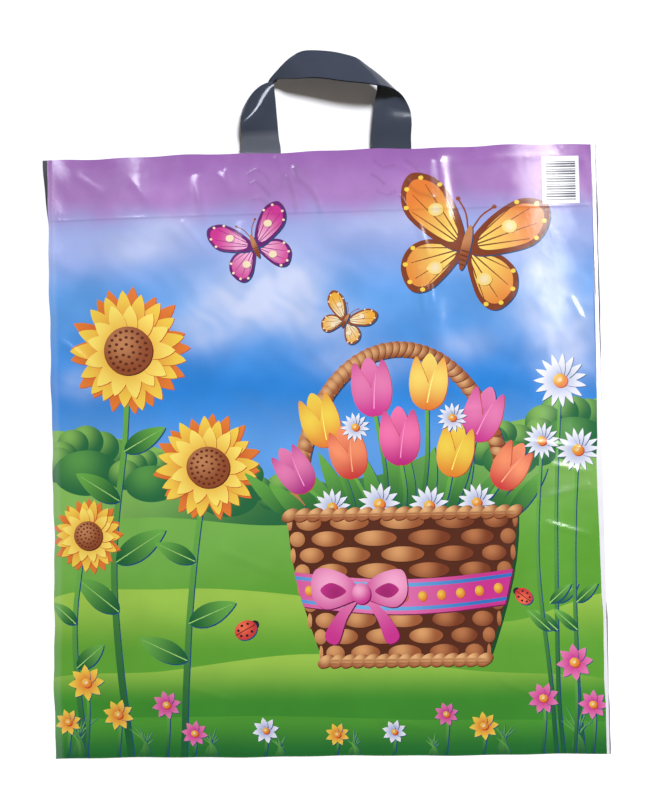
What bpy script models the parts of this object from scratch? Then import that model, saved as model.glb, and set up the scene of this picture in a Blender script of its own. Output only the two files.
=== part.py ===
"""Plastic carrier bag with two soft loop handles, lying on its back.

The bag is one film: folded at the bottom, welded along both sides, and turned in at the mouth as a
hem on each wall. Each handle is a flat strip of film whose two ends are welded inside a hem. Both
strips lie on one another beyond the mouth, and roll over themselves at the top of each leg.
Metres, +Z up, +Y from the bottom fold to the handles, origin under the middle of the whole.
"""

import math

import bpy
import numpy as np

# The bag
BAG_WIDTH = 0.450
BAG_LENGTH = 0.490
HEM_DEPTH = 0.050
SEAM_WIDTH = 0.004

# Film layers: the film's thickness, and the air between two layers that lie on one another
FILM = 0.0003
LAYER_GAP = 0.0003

# How the air in the bag lifts the front wall off the back wall
MOUTH_CLEAR = 0.0047
SIDE_RISE = 0.045
FOLD_RISE = 0.040

# The handles
HANDLE_WIDTH = 0.032
LEG_SPACING = 0.106
LEG_SHIFT = 0.0073
WELD_LENGTH = 0.043
STRAIGHT_OUT = 0.003
LOOP_REACH = 0.069
LOOP_RISE = 0.020
LOOP_LAYER_GAP = 0.0010

# Layer heights in the mouth, from the surface that the bag lies on
BACK_HEM_TOP = 2 * FILM + LAYER_GAP
REAR_LEG_HEIGHT = BACK_HEM_TOP + LAYER_GAP + FILM / 2
FRONT_LEG_HEIGHT = REAR_LEG_HEIGHT + FILM + MOUTH_CLEAR
FRONT_HEM_BOTTOM = FRONT_LEG_HEIGHT + FILM / 2 + LAYER_GAP
PUFFED_HEIGHT = FRONT_HEM_BOTTOM + FILM + LAYER_GAP
PRESSED_HEIGHT = 3 * FILM + 3 * LAYER_GAP

# The mesh's steps
WALL_COLUMNS = 30
WALL_ROWS = 26
FLAT_ROWS = 4
HEM_ROWS = 3
TURN_STEPS = 3
STRIP_STEPS = 72
STRIP_COLUMNS = 5
SHARP_DEGREES = 40

# Share of a crease's height that is left where the hem stiffens the wall
HEM_CREASE_SHARE = 0.25

# Soft creases of the front wall, each from one point to another, as shares of the bag's width and
# length from its middle, then the crease's height and half its width in metres
CREASES = (
    ((0.24, 0.47), (0.20, 0.20), 0.0016, 0.012),
    ((0.33, 0.36), (0.22, 0.48), 0.0012, 0.010),
    ((-0.06, 0.46), (-0.16, 0.30), 0.0010, 0.012),
    ((0.19, 0.26), (0.24, 0.06), 0.0009, 0.010),
    ((0.22, -0.10), (0.45, -0.02), 0.0012, 0.012),
    ((-0.42, 0.30), (-0.30, 0.05), 0.0009, 0.014),
    ((-0.38, -0.22), (-0.12, -0.34), 0.0009, 0.016),
    ((0.05, -0.12), (0.16, -0.32), 0.0008, 0.016),
)

# The loop beyond the straight legs, as stations along the strip. Each has its middle point: across
# in half leg spacings, up from the mouth in loop reaches, and above the leg in loop rises. Then it
# has the way from there to the strip's outer edge and to its inner edge, in half handle widths.
LOOP_STATIONS = (
    ((-1.00, 0.17, 0.12), (-0.96, 0.00, -0.04), (0.95, 0.00, -0.04)),
    ((-1.01, 0.40, 0.35), (-0.91, -0.50, -0.10), (0.91, 0.38, -0.08)),
    ((-1.02, 0.56, 0.37), (-0.86, -0.78, -0.13), (0.88, 0.66, 0.05)),
    ((-1.04, 0.73, 0.25), (-0.74, -0.94, -0.26), (0.88, 0.29, 0.18)),
    ((-0.99, 0.70, 0.05), (-0.81, -0.80, -0.16), (0.47, 0.53, 0.22)),
    ((-0.80, 0.80, 0.12), (-0.58, -0.45, -0.22), (0.33, 0.66, 0.19)),
    ((-0.60, 0.91, 0.34), (-0.45, -0.34, -0.20), (0.41, 0.77, 0.04)),
    ((-0.35, 0.97, 0.52), (-0.31, -0.68, 0.15), (0.25, 0.78, -0.22)),
    ((0.01, 0.96, 0.62), (-0.25, -0.74, 0.45), (0.25, 0.76, -0.45)),
    ((0.33, 0.91, 0.70), (-0.06, -0.76, 0.50), (0.06, 0.76, -0.50)),
    ((0.60, 0.87, 0.74), (0.25, -0.76, 0.46), (-0.34, 0.72, -0.42)),
    ((0.82, 0.82, 0.62), (0.44, -0.68, 0.28), (-0.63, 0.54, -0.24)),
    ((0.94, 0.74, 0.34), (0.56, -0.50, 0.10), (-0.63, 0.41, -0.14)),
    ((1.01, 0.62, 0.15), (0.71, -0.34, 0.02), (-0.69, 0.41, 0.02)),
    ((1.03, 0.49, 0.10), (0.88, -0.22, -0.02), (-0.88, 0.28, 0.04)),
    ((1.02, 0.30, 0.13), (0.98, -0.03, -0.03), (-0.98, 0.06, 0.00)),
    ((1.00, 0.13, 0.03), (1.00, 0.00, 0.00), (-1.00, 0.00, 0.00)),
)

# Knots in each straight leg, and how many knots the rear strip takes to come close to the front one
LEG_KNOTS = 4
CLOSING_KNOTS = 2.5

# Where the mouth and the fold lie before the whole is centred on its box
MOUTH_Y = BAG_LENGTH / 2
FOLD_Y = -BAG_LENGTH / 2
HEM_END_Y = MOUTH_Y - HEM_DEPTH
CAVITY_HALF_WIDTH = BAG_WIDTH / 2 - SEAM_WIDTH

# Colours of the print's fields, of the bare film and of the handles
FIELD_COLOURS = {
    "sky_purple": (0.37, 0.19, 0.47),
    "sky_blue": (0.20, 0.40, 0.74),
    "cloud": (0.60, 0.65, 0.86),
    "hedge_green": (0.08, 0.27, 0.07),
    "meadow_green": (0.20, 0.45, 0.07),
    "petal_yellow": (0.86, 0.60, 0.08),
    "petal_orange": (0.76, 0.26, 0.05),
    "petal_pink": (0.72, 0.16, 0.36),
    "seed_brown": (0.22, 0.08, 0.03),
    "wicker_brown": (0.38, 0.16, 0.07),
    "bare_film": (0.82, 0.82, 0.84),
}
HANDLE_SLATE = (0.030, 0.038, 0.058)
PRINT_ROUGHNESS = 0.18
HANDLE_ROUGHNESS = 0.12

# The print's ground: how far up from the fold each field reaches, as shares of the bag's length
GROUND_LEVELS = ((0.40, "meadow_green"), (0.50, "hedge_green"), (0.89, "sky_blue"), (1.0, "sky_purple"))

# Simple round shapes on the ground. Each has its field, its middle across from the bag's middle and
# up from the fold, and half its width and height, as shares of the bag's width and length.
PRINT_SHAPES = (
    ("cloud", -0.10, 0.75, 0.14, 0.05),
    ("cloud", 0.41, 0.73, 0.07, 0.05),
    ("cloud", -0.32, 0.87, 0.08, 0.03),
    ("petal_pink", 0.05, 0.49, 0.08, 0.09),
    ("petal_yellow", 0.14, 0.55, 0.08, 0.08),
    ("petal_orange", 0.24, 0.49, 0.08, 0.09),
    ("petal_yellow", -0.35, 0.68, 0.115, 0.105),
    ("seed_brown", -0.35, 0.68, 0.045, 0.042),
    ("petal_yellow", -0.21, 0.48, 0.097, 0.09),
    ("seed_brown", -0.21, 0.48, 0.038, 0.035),
    ("petal_yellow", -0.43, 0.37, 0.068, 0.062),
    ("petal_orange", 0.20, 0.85, 0.06, 0.09),
    ("petal_orange", 0.32, 0.83, 0.06, 0.09),
    ("petal_pink", -0.12, 0.845, 0.06, 0.05),
)

# The basket: its middle across, its foot and rim up from the fold, half its width at each of them,
# and its ribbon's low and high edge, as the same shares
BASKET_ACROSS = 0.138
BASKET_LEVELS = (0.16, 0.40)
BASKET_HALVES = (0.147, 0.204)
RIBBON_LEVELS = (0.25, 0.31)

# Share of the width that the print leaves bare along the right edge
BARE_MARGIN = 0.012


def clear_scene():
    for thing in list(bpy.data.objects):
        bpy.data.objects.remove(thing)


def film_material(name, colour, roughness):
    material = bpy.data.materials.new(name)
    material.use_nodes = True
    shader = material.node_tree.nodes["Principled BSDF"]
    shader.inputs["Base Color"].default_value = (*colour, 1.0)
    shader.inputs["Roughness"].default_value = roughness
    shader.inputs["Metallic"].default_value = 0.0
    return material


def smooth_step(value):
    value = min(max(value, 0.0), 1.0)
    return value * value * (3 - 2 * value)


def crease_height(x, y):
    """Height that the soft creases add to the front wall at a point."""
    total = 0.0
    for start, end, height, half_width in CREASES:
        ax, ay = start[0] * BAG_WIDTH, start[1] * BAG_LENGTH
        dx, dy = end[0] * BAG_WIDTH - ax, end[1] * BAG_LENGTH - ay
        along = ((x - ax) * dx + (y - ay) * dy) / (dx * dx + dy * dy)
        nearest = min(max(along, 0.0), 1.0)
        away = math.hypot(x - ax - nearest * dx, y - ay - nearest * dy)
        total += height * math.exp(-((away / half_width) ** 2))
    return total


def wall_height(x, y):
    """Height of the front wall's inner face: pressed flat at the seams and the fold, lifted between."""
    from_seam = smooth_step((CAVITY_HALF_WIDTH - abs(x)) / SIDE_RISE)
    from_fold = smooth_step((y - FOLD_Y) / FOLD_RISE)
    lift = from_seam * from_fold
    below_hem = smooth_step((HEM_END_Y - y) / HEM_DEPTH)
    creases = crease_height(x, y) * lift
    creases *= HEM_CREASE_SHARE + (1 - HEM_CREASE_SHARE) * below_hem
    return PRESSED_HEIGHT + (PUFFED_HEIGHT - PRESSED_HEIGHT) * lift + creases


def wall_columns():
    """Places across the bag, closer together where the wall rises from the seams."""
    half = CAVITY_HALF_WIDTH
    return [half * math.sin(math.pi / 2 * share) for share in np.linspace(-1, 1, WALL_COLUMNS + 1)]


def wall_rows():
    """Places up the bag, from the mouth to the fold, closer together near the fold and in the hem."""
    hem = np.linspace(MOUTH_Y - FILM, HEM_END_Y, HEM_ROWS + 1)[:-1]
    below = WALL_ROWS - HEM_ROWS
    fold = FOLD_Y + FILM
    shares = [1 - math.sin(math.pi / 2 * i / below) for i in range(below + 1)]
    return [*hem, *(fold + (HEM_END_Y - fold) * share for share in shares)]


def film_section(x):
    """The film's outline across the bag at one column, and which of its points border the inside.

    The points run down the front wall's outer face, up the back wall's outer face, in round the back
    hem, down and up the inner faces, and out round the front hem.
    """
    rows = wall_rows()
    hem_rows = rows[: HEM_ROWS + 1]
    bottom_top = wall_height(x, rows[-1]) + FILM
    outer_front = [(MOUTH_Y, wall_height(x, MOUTH_Y) + FILM)]
    outer_front += [(y, wall_height(x, y) + FILM) for y in rows[1:]]
    turn = []
    for step in range(1, TURN_STEPS):
        angle = math.pi * step / TURN_STEPS
        bulge = FILM * math.sin(angle)
        turn.append((FOLD_Y + FILM - bulge, bottom_top / 2 * (1 + math.cos(angle))))
    outer_back = [(y, 0.0) for y in np.linspace(FOLD_Y + FILM, MOUTH_Y, FLAT_ROWS + 1)]
    back_hem = [(MOUTH_Y, BACK_HEM_TOP), (HEM_END_Y, BACK_HEM_TOP), (HEM_END_Y, FILM + LAYER_GAP)]
    back_hem.append((MOUTH_Y - FILM, FILM + LAYER_GAP))
    inner_back = [(y, FILM) for y in np.linspace(MOUTH_Y - FILM, FOLD_Y + 2 * FILM, FLAT_ROWS + 1)]
    inner_rows = [*rows[:-1], FOLD_Y + 2 * FILM]
    inner_front = [(y, wall_height(x, y)) for y in reversed(inner_rows)]
    front_hem = [(y, wall_height(x, y) - LAYER_GAP) for y in hem_rows]
    under = [MOUTH_Y, *hem_rows[1:]]
    front_hem += [(y, wall_height(x, y) - LAYER_GAP - FILM) for y in reversed(under)]
    outside = [*outer_front, *turn, *outer_back]
    inside = [*back_hem, *inner_back, *inner_front, *front_hem]
    return outside, inside


def join_rings(rings, faces):
    """Adds the quads between each ring of point numbers and the next."""
    for near, far in zip(rings[:-1], rings[1:]):
        for i in range(len(near)):
            j = (i + 1) % len(near)
            faces.append((near[i], near[j], far[j], far[i]))


def shaded_object(name, points, faces, materials):
    mesh = bpy.data.meshes.new(name)
    mesh.from_pydata([tuple(point) for point in points], [], faces)
    for material in materials:
        mesh.materials.append(material)
    mesh.shade_smooth()
    mesh.set_sharp_from_angle(angle=math.radians(SHARP_DEGREES))
    mesh.update()
    thing = bpy.data.objects.new(name, mesh)
    bpy.context.scene.collection.objects.link(thing)
    return thing


def print_field(x, y):
    """Which field of the print a place on the front wall lies in."""
    across = x / BAG_WIDTH
    up = (y - FOLD_Y) / BAG_LENGTH
    if across > 0.5 - BARE_MARGIN:
        return "bare_film"
    found = next(field for level, field in GROUND_LEVELS if up <= level)
    for field, shape_across, shape_up, half_across, half_up in PRINT_SHAPES:
        if math.hypot((across - shape_across) / half_across, (up - shape_up) / half_up) < 1:
            found = field
    basket_half = np.interp(up, BASKET_LEVELS, BASKET_HALVES, left=0.0, right=0.0)
    if abs(across - BASKET_ACROSS) < basket_half:
        on_ribbon = RIBBON_LEVELS[0] < up < RIBBON_LEVELS[1]
        found = "petal_pink" if on_ribbon else "wicker_brown"
    return found


def make_bag():
    points, faces, rings = [], [], []
    columns = wall_columns()
    for x in columns:
        outside, inside = film_section(x)
        start = len(points)
        points += [(x, y, z) for y, z in [*outside, *inside]]
        rings.append(list(range(start, len(points))))
    join_rings(rings, faces)
    wall_faces = len(faces)
    borders = len(outside)
    for ring, x_edge, first in ((rings[0], -BAG_WIDTH / 2, True), (rings[-1], BAG_WIDTH / 2, False)):
        cap = ring[borders:]
        seam = [ring[-1], *ring[: borders + 1]]
        edge = []
        for number in seam:
            edge.append(len(points))
            _, y, z = points[number]
            points.append((x_edge, y, z / 2))
        faces.append(tuple(reversed(cap)) if first else tuple(cap))
        pair = [edge, seam] if first else [seam, edge]
        join_rings(pair, faces)
        faces.append(tuple(edge) if not first else tuple(reversed(edge)))
    fields = list(FIELD_COLOURS)
    materials = [film_material(name, FIELD_COLOURS[name], PRINT_ROUGHNESS) for name in fields]
    bag = shaded_object("bag_body", points, faces, materials)
    for face in bag.data.polygons:
        is_printed = face.index < wall_faces and face.index % len(rings[0]) < WALL_ROWS
        field = print_field(face.center.x, face.center.y) if is_printed else "bare_film"
        face.material_index = fields.index(field)
    return bag


def loop_lines():
    """The strip's outer edge, middle and inner edge as lists of points, from left end to right end."""
    legs = (LEG_SHIFT - LEG_SPACING / 2, LEG_SHIFT + LEG_SPACING / 2)
    half = HANDLE_WIDTH / 2
    straight = [MOUTH_Y + out for out in (-WELD_LENGTH, -WELD_LENGTH / 2, -STRAIGHT_OUT, STRAIGHT_OUT)]
    outer, middle, inner = [], [], []
    for side, x in zip((-1, 1), legs):
        for y in straight[:: -side]:
            outer.append((x + side * half, y, FRONT_LEG_HEIGHT))
            middle.append((x, y, FRONT_LEG_HEIGHT))
            inner.append((x - side * half, y, FRONT_LEG_HEIGHT))
        if side > 0:
            continue
        for (across, up, rise), to_outer, to_inner in LOOP_STATIONS:
            point = np.array(
                (
                    LEG_SHIFT + across * LEG_SPACING / 2,
                    MOUTH_Y + up * LOOP_REACH,
                    FRONT_LEG_HEIGHT + rise * LOOP_RISE,
                )
            )
            outer.append(tuple(point + half * np.array(to_outer)))
            middle.append(tuple(point))
            inner.append(tuple(point + half * np.array(to_inner)))
    return np.array(outer), np.array(middle), np.array(inner)


def smooth_line(knots, places):
    """Points of a smooth curve through the knots, at places counted in knots."""
    last = len(knots) - 1
    found = []
    for place in places:
        i = min(int(place), last - 1)
        t = place - i
        before, start = knots[max(i - 1, 0)], knots[i]
        end, after = knots[i + 1], knots[min(i + 2, last)]
        leave, arrive = (end - before) / 2, (after - start) / 2
        found.append(
            (2 * t**3 - 3 * t**2 + 1) * start
            + (t**3 - 2 * t**2 + t) * leave
            + (3 * t**2 - 2 * t**3) * end
            + (t**3 - t**2) * arrive
        )
    return np.array(found)


def strip_surface():
    """The front strip's middle surface as a grid of points, with its normals and rows' shares."""
    knots = loop_lines()
    last = len(knots[0]) - 1
    places = np.linspace(0, last, STRIP_STEPS + 1)
    outer, middle, inner = (smooth_line(line, places) for line in knots)
    rows = []
    for share in np.linspace(-1, 1, STRIP_COLUMNS):
        edges = outer * share * (share - 1) / 2 + inner * share * (share + 1) / 2
        rows.append(edges + middle * (1 - share * share))
    grid = np.stack(rows, axis=1)
    along = np.gradient(grid, axis=0)
    across = np.gradient(grid, axis=1)
    normals = np.cross(across, along)
    normals /= np.linalg.norm(normals, axis=2, keepdims=True)
    return grid, normals, places


def rear_offset(place):
    """How far the rear strip lies behind the front one: a mouth apart at the ends, a layer in the loop."""
    in_mouth = FRONT_LEG_HEIGHT - REAR_LEG_HEIGHT
    in_loop = FILM + LOOP_LAYER_GAP
    last = len(LOOP_STATIONS) + 2 * LEG_KNOTS - 1
    from_end = min(place, last - place)
    share = smooth_step((from_end - LEG_KNOTS + 1) / CLOSING_KNOTS)
    return in_mouth + (in_loop - in_mouth) * share


def make_handle(name, behind):
    """A closed strip of film on the front strip's surface, or behind it by a distance for each step."""
    grid, normals, places = strip_surface()
    shift = np.array([behind(place) for place in places])[:, None, None]
    middle = grid - normals * shift
    upper = middle + normals * FILM / 2
    lower = middle - normals * FILM / 2
    steps, columns = grid.shape[:2]
    points, faces, rings = [], [], []
    for step in range(steps):
        start = len(points)
        points += [*upper[step], *lower[step][::-1]]
        rings.append(list(range(start, start + 2 * columns)))
    join_rings(rings, faces)
    faces.append(tuple(reversed(rings[0])))
    faces.append(tuple(rings[-1]))
    slate = film_material(name + "_film", HANDLE_SLATE, HANDLE_ROUGHNESS)
    return shaded_object(name, points, faces, [slate])


def centre_on_box(things):
    """Moves the meshes so that the origin lies under the middle of the whole."""
    corners = [vertex.co for thing in things for vertex in thing.data.vertices]
    lowest = [min(corner[i] for corner in corners) for i in range(3)]
    highest = [max(corner[i] for corner in corners) for i in range(3)]
    shift = [-(lowest[0] + highest[0]) / 2, -(lowest[1] + highest[1]) / 2, -lowest[2]]
    for thing in things:
        for vertex in thing.data.vertices:
            vertex.co = [vertex.co[i] + shift[i] for i in range(3)]


clear_scene()
bag_body = make_bag()
front_handle = make_handle("front_handle", lambda place: 0.0)
rear_handle = make_handle("rear_handle", rear_offset)
centre_on_box([bag_body, front_handle, rear_handle])
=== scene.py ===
"""Looks of a plastic carrier bag that lies flat, with two soft loop handles.

The bag is one closed film whose front wall is cut along the outlines of its print, so that each
colour edge is an edge of the mesh. The print is a generic garden scene, drawn here from formulas.
"""

import math

import bpy
import numpy as np
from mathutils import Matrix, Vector
from mathutils.geometry import delaunay_2d_cdt


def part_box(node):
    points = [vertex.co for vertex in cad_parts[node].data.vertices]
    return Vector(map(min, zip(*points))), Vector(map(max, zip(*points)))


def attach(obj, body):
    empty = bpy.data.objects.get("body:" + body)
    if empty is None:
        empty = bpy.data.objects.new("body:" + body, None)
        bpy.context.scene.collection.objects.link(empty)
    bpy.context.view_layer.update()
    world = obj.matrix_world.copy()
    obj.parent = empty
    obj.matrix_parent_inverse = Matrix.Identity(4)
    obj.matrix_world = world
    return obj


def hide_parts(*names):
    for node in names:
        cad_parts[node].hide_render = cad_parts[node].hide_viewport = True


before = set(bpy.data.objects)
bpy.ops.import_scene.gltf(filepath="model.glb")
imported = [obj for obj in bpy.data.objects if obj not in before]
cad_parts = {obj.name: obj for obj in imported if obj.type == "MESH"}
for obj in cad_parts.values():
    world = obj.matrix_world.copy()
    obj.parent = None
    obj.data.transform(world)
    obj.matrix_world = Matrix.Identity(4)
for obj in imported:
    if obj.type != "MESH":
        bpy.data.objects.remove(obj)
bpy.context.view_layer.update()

# The bag's place and size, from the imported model
BAG_LOW, BAG_HIGH = (np.array(corner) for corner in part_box("bag_body"))
FOLD_Y = BAG_LOW[1]
MOUTH_Y = BAG_HIGH[1]

# Film layers and the air between them, in metres
FILM = 0.00012
LAYER_GAP = 0.00015
STRIP = 0.00016
REAR_LEG_HEIGHT = 0.00135
FRONT_LEG_HEIGHT = 0.00635
PUFFED_HEIGHT = FRONT_LEG_HEIGHT + STRIP / 2 + FILM + 2 * LAYER_GAP
PRESSED_HEIGHT = 3 * FILM + 3 * LAYER_GAP

# The flat film's sizes in millimetres, across from its middle and up from its fold. The print, the
# creases and every u and v below are in these.
MM = 0.001
HALF = (BAG_HIGH[0] - BAG_LOW[0]) / 2 / MM
TOP = (MOUTH_Y - FOLD_Y) / MM
HEM_DEPTH = 50
HEM = TOP - HEM_DEPTH
SEAM = 4
CAVITY = HALF - SEAM

# How wide the slopes are that rise from the side welds and from the fold
SIDE_SLOPE = 85
FOLD_SLOPE = 65

# Share of the wall's height that is left at its very edge, and how dark the hem's weld is
RIM_SHARE = 0.45
HEM_WELD_DARK = 0.14

# The lining: how far it stays from the fold, its rows, and how much of the room it leaves open
LINING_MARGIN = 5
HEM_LINING_ROWS = 20
LINING_SHARE = 0.7

# How far the corner at the mouth's left end is drawn across: the front wall, and the back wall
# that shows beside it
PEEL_FRONT = 0.6
PEEL_BACK = -3.4

# How far the bag's sides are drawn in between its corners
WAIST_LEFT = 2.4
WAIST_RIGHT = 1.8

# The handles, as in the solid model
HANDLE_WIDTH = 0.032
LEG_SPACING = 0.106
LEG_SHIFT = 0.0073
WELD_LENGTH = 0.043
STRAIGHT_OUT = 0.003
LOOP_REACH = 0.069
LOOP_RISE = 0.020
LOOP_LAYER_GAP = 0.0010
LOOP_STATIONS = (
    ((-1.00, 0.17, 0.12), (-0.96, 0.00, -0.04), (0.95, 0.00, -0.04)),
    ((-1.01, 0.40, 0.35), (-0.91, -0.50, -0.10), (0.91, 0.38, -0.08)),
    ((-1.02, 0.56, 0.37), (-0.86, -0.78, -0.13), (0.88, 0.66, 0.05)),
    ((-1.04, 0.73, 0.25), (-0.74, -0.94, -0.26), (0.88, 0.29, 0.18)),
    ((-0.99, 0.70, 0.05), (-0.81, -0.80, -0.16), (0.47, 0.53, 0.22)),
    ((-0.80, 0.80, 0.12), (-0.58, -0.45, -0.22), (0.33, 0.66, 0.19)),
    ((-0.60, 0.91, 0.34), (-0.45, -0.34, -0.20), (0.41, 0.77, 0.04)),
    ((-0.35, 0.97, 0.52), (-0.31, -0.68, 0.15), (0.25, 0.78, -0.22)),
    ((0.01, 0.96, 0.62), (-0.25, -0.74, 0.45), (0.25, 0.76, -0.45)),
    ((0.33, 0.91, 0.70), (-0.06, -0.76, 0.50), (0.06, 0.76, -0.50)),
    ((0.60, 0.87, 0.74), (0.25, -0.76, 0.46), (-0.34, 0.72, -0.42)),
    ((0.82, 0.82, 0.62), (0.44, -0.68, 0.28), (-0.63, 0.54, -0.24)),
    ((0.94, 0.74, 0.34), (0.56, -0.50, 0.10), (-0.63, 0.41, -0.14)),
    ((1.01, 0.62, 0.15), (0.71, -0.34, 0.02), (-0.69, 0.41, 0.02)),
    ((1.03, 0.49, 0.10), (0.88, -0.22, -0.02), (-0.88, 0.28, 0.04)),
    ((1.02, 0.30, 0.13), (0.98, -0.03, -0.03), (-0.98, 0.06, 0.00)),
    ((1.00, 0.13, 0.03), (1.00, 0.00, 0.00), (-1.00, 0.00, 0.00)),
)
STRIP_STEPS = 260
STRIP_COLUMNS = 17

# Creases of the front wall. Each runs from one point to another, in millimetres across from the
# bag's middle and up from its fold, and has a height and half a width in millimetres.
BROAD_CREASES = (
    ((108, 476), (90, 344), 1.6, 12),
    ((148, 421), (99, 480), 1.2, 10),
    ((-27, 470), (-72, 392), 1.0, 12),
    ((86, 372), (108, 274), 0.9, 10),
    ((99, 196), (202, 235), 1.2, 12),
    ((-189, 392), (-135, 270), 0.9, 14),
    ((-171, 137), (-54, 78), 0.9, 16),
    ((22, 186), (72, 88), 0.8, 16),
)
FINE_CREASES = (
    ((98, 478), (102, 430), 1.62, 6.8),
    ((80, 430), (88, 403), 0.70, 3.0),
    ((82, 392), (84, 359), 0.62, 2.7),
    ((88, 391), (90, 365), 0.50, 2.3),
    ((64, 478), (84, 468), 0.22, 3.2),
    ((112, 478), (190, 481), 0.12, 3.0),
    ((-98, 470), (-93, 438), 0.75, 5.0),
    ((-76, 475), (-70, 459), 0.60, 4.0),
    ((-62, 432), (-60, 398), 0.60, 5.0),
    ((-150, 470), (-132, 446), 0.45, 5.0),
    ((-200, 476), (-178, 462), 0.20, 4.0),
    ((120, 214), (150, 209), 0.30, 2.4),
    ((160, 252), (206, 246), 0.40, 2.6),
    ((98, 276), (134, 280), 0.35, 2.4),
    ((170, 204), (214, 216), 0.45, 3.0),
    ((178, 186), (212, 176), 0.40, 2.6),
    ((184, 232), (216, 226), 0.45, 2.8),
    ((202, 366), (210, 350), 0.30, 2.6),
    ((-214, 340), (-190, 322), 0.40, 3.0),
    ((-206, 150), (-176, 162), 0.40, 3.0),
    ((-120, 60), (-80, 48), 0.35, 3.0),
    ((40, 30), (84, 22), 0.35, 3.0),
    ((140, 60), (176, 44), 0.35, 3.0),
    ((-10, 330), (22, 300), 0.45, 4.0),
    ((-110, 436), (-92, 412), 0.40, 3.0),
    ((20, 236), (-14, 262), 0.40, 4.0),
    ((-40, 150), (-84, 168), 0.40, 4.0),
)

# Ripples that the handles' welds press into the hem: a path in the same places, then the ripple's height,
# half its width, and how much painted shade darkens the print beside it
RIPPLES = (
    (((-56, 473), (-49, 477), (-43, 473), (-39, 466)), 0.12, 1.3, 0.13),
    (((-54, 465), (-50, 467), (-45, 462), (-39, 455)), 0.12, 1.3, 0.14),
    (((-54, 452), (-48, 453), (-43, 450), (-37, 443)), 0.10, 1.3, 0.12),
    (((-33, 486), (-29, 474), (-30, 462)), 0.20, 2.4, 0.05),
    (((-18, 477), (-16, 468), (-7, 461), (-1, 451), (2, 441)), 0.35, 2.6, 0.14),
    (((-24, 470), (-20, 456), (-18, 442)), 0.30, 2.6, 0.12),
    (((44, 469), (49, 466), (54, 461)), 0.08, 0.9, 0.22),
    (((46, 480), (54, 474), (62, 476)), 0.10, 1.1, 0.14),
    (((48, 456), (57, 452), (63, 455)), 0.10, 1.0, 0.14),
    (((66, 452), (69, 448), (71, 444)), 0.16, 0.9, 0.12),
    (((73, 464), (76, 457), (82, 452), (94, 449)), 0.12, 1.5, 0.22),
    (((72, 480), (80, 474), (85, 469)), 0.12, 1.8, 0.16),
)

# The mesh's steps, with closer ones in the areas that creases make uneven: left, low, right, high
GRID_STEP = 2.4
FINE_STEP = 1.1
FINE_AREAS = ((-72, 436, -18, 490), (34, 436, 118, 490), (78, 362, 102, 430))


# Shared curves

def smooth_step(value):
    value = np.clip(value, 0.0, 1.0)
    return value * value * (3 - 2 * value)


def linear(colour):
    """A colour as the eye sees it on a screen, turned into light amounts."""
    colour = np.asarray(colour, float)
    return np.where(colour <= 0.04045, colour / 12.92, ((colour + 0.055) / 1.055) ** 2.4)


def crease(u, v, start, end, height, half_width):
    du, dv = end[0] - start[0], end[1] - start[1]
    along = ((u - start[0]) * du + (v - start[1]) * dv) / (du * du + dv * dv)
    nearest = np.clip(along, 0, 1)
    away = np.hypot(u - start[0] - nearest * du, v - start[1] - nearest * dv)
    taper = np.sin(math.pi * np.clip(along * 0.8 + 0.1, 0.02, 0.98)) ** 0.5
    return height * taper * np.exp(-((away / half_width) ** 2))


def path_distance(u, v, path):
    """How far places lie from a path of straight pieces."""
    nearest = np.full_like(u, np.inf)
    for (au, av), (bu, bv) in zip(path[:-1], path[1:]):
        du, dv = bu - au, bv - av
        along = np.clip(((u - au) * du + (v - av) * dv) / (du * du + dv * dv), 0, 1)
        nearest = np.minimum(nearest, np.hypot(u - au - along * du, v - av - along * dv))
    return nearest


def ripple_height(u, v):
    total = np.zeros_like(u)
    for path, height, half_width, _ in RIPPLES:
        total += height * np.exp(-((path_distance(u, v, path) / half_width) ** 2))
    return total


def painted_ripple_shade_and_weld_line(u, v):
    """How much darker the print is painted: painted shade beside the ripples, and a dark line along the hem's
    weld.
    """
    shade = np.ones_like(u)
    for path, _, half_width, dark in RIPPLES:
        # Painted shade, a little to one side of each ripple
        shade -= dark * np.exp(-((path_distance(u, v - half_width / 2, path) / half_width) ** 2))
    shade -= HEM_WELD_DARK * np.exp(-(((v - HEM) / 0.7) ** 2))
    return shade


def broad_height(u, v):
    """Height of the front wall without its small creases, in millimetres, at places in millimetres."""
    lift = smooth_step((CAVITY - np.abs(u)) / SIDE_SLOPE) * smooth_step(v / FOLD_SLOPE)
    below_hem = smooth_step((HEM - v) / HEM_DEPTH)
    total = np.zeros_like(u)
    for start, end, height, half_width in BROAD_CREASES:
        total += crease(u, v, start, end, height, half_width)
    swell = 0.25 * np.sin(u / 23 + v / 61) + 0.2 * np.sin(v / 31 - u / 47 + 1.0)
    total = (total + swell) * lift * (0.25 + 0.75 * below_hem)
    return (PRESSED_HEIGHT + (PUFFED_HEIGHT - PRESSED_HEIGHT) * lift) / MM + total


def front_height(u, v):
    """Height of the front wall's outer face, with every crease, in millimetres."""
    fine = np.zeros_like(u)
    for start, end, height, half_width in FINE_CREASES:
        fine += crease(u, v, start, end, height, half_width)
    hem_line = v - HEM
    fine += 0.07 * np.exp(-((hem_line / 1.1) ** 2)) + 0.05 * smooth_step(hem_line / 3 + 0.5)
    fine += ripple_height(u, v)
    fine += 0.10 * np.sin(v / 5.3 + 1.5 * np.sin(u / 17)) * smooth_step((np.abs(u) - 196) / 20)
    from_edge = np.minimum(HALF - np.abs(u), v)
    rim = RIM_SHARE + (1 - RIM_SHARE) * smooth_step(from_edge / SEAM)
    inner = smooth_step((from_edge - 2) / 8)
    return (broad_height(u, v) + FILM / MM) * rim + fine * inner


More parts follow.
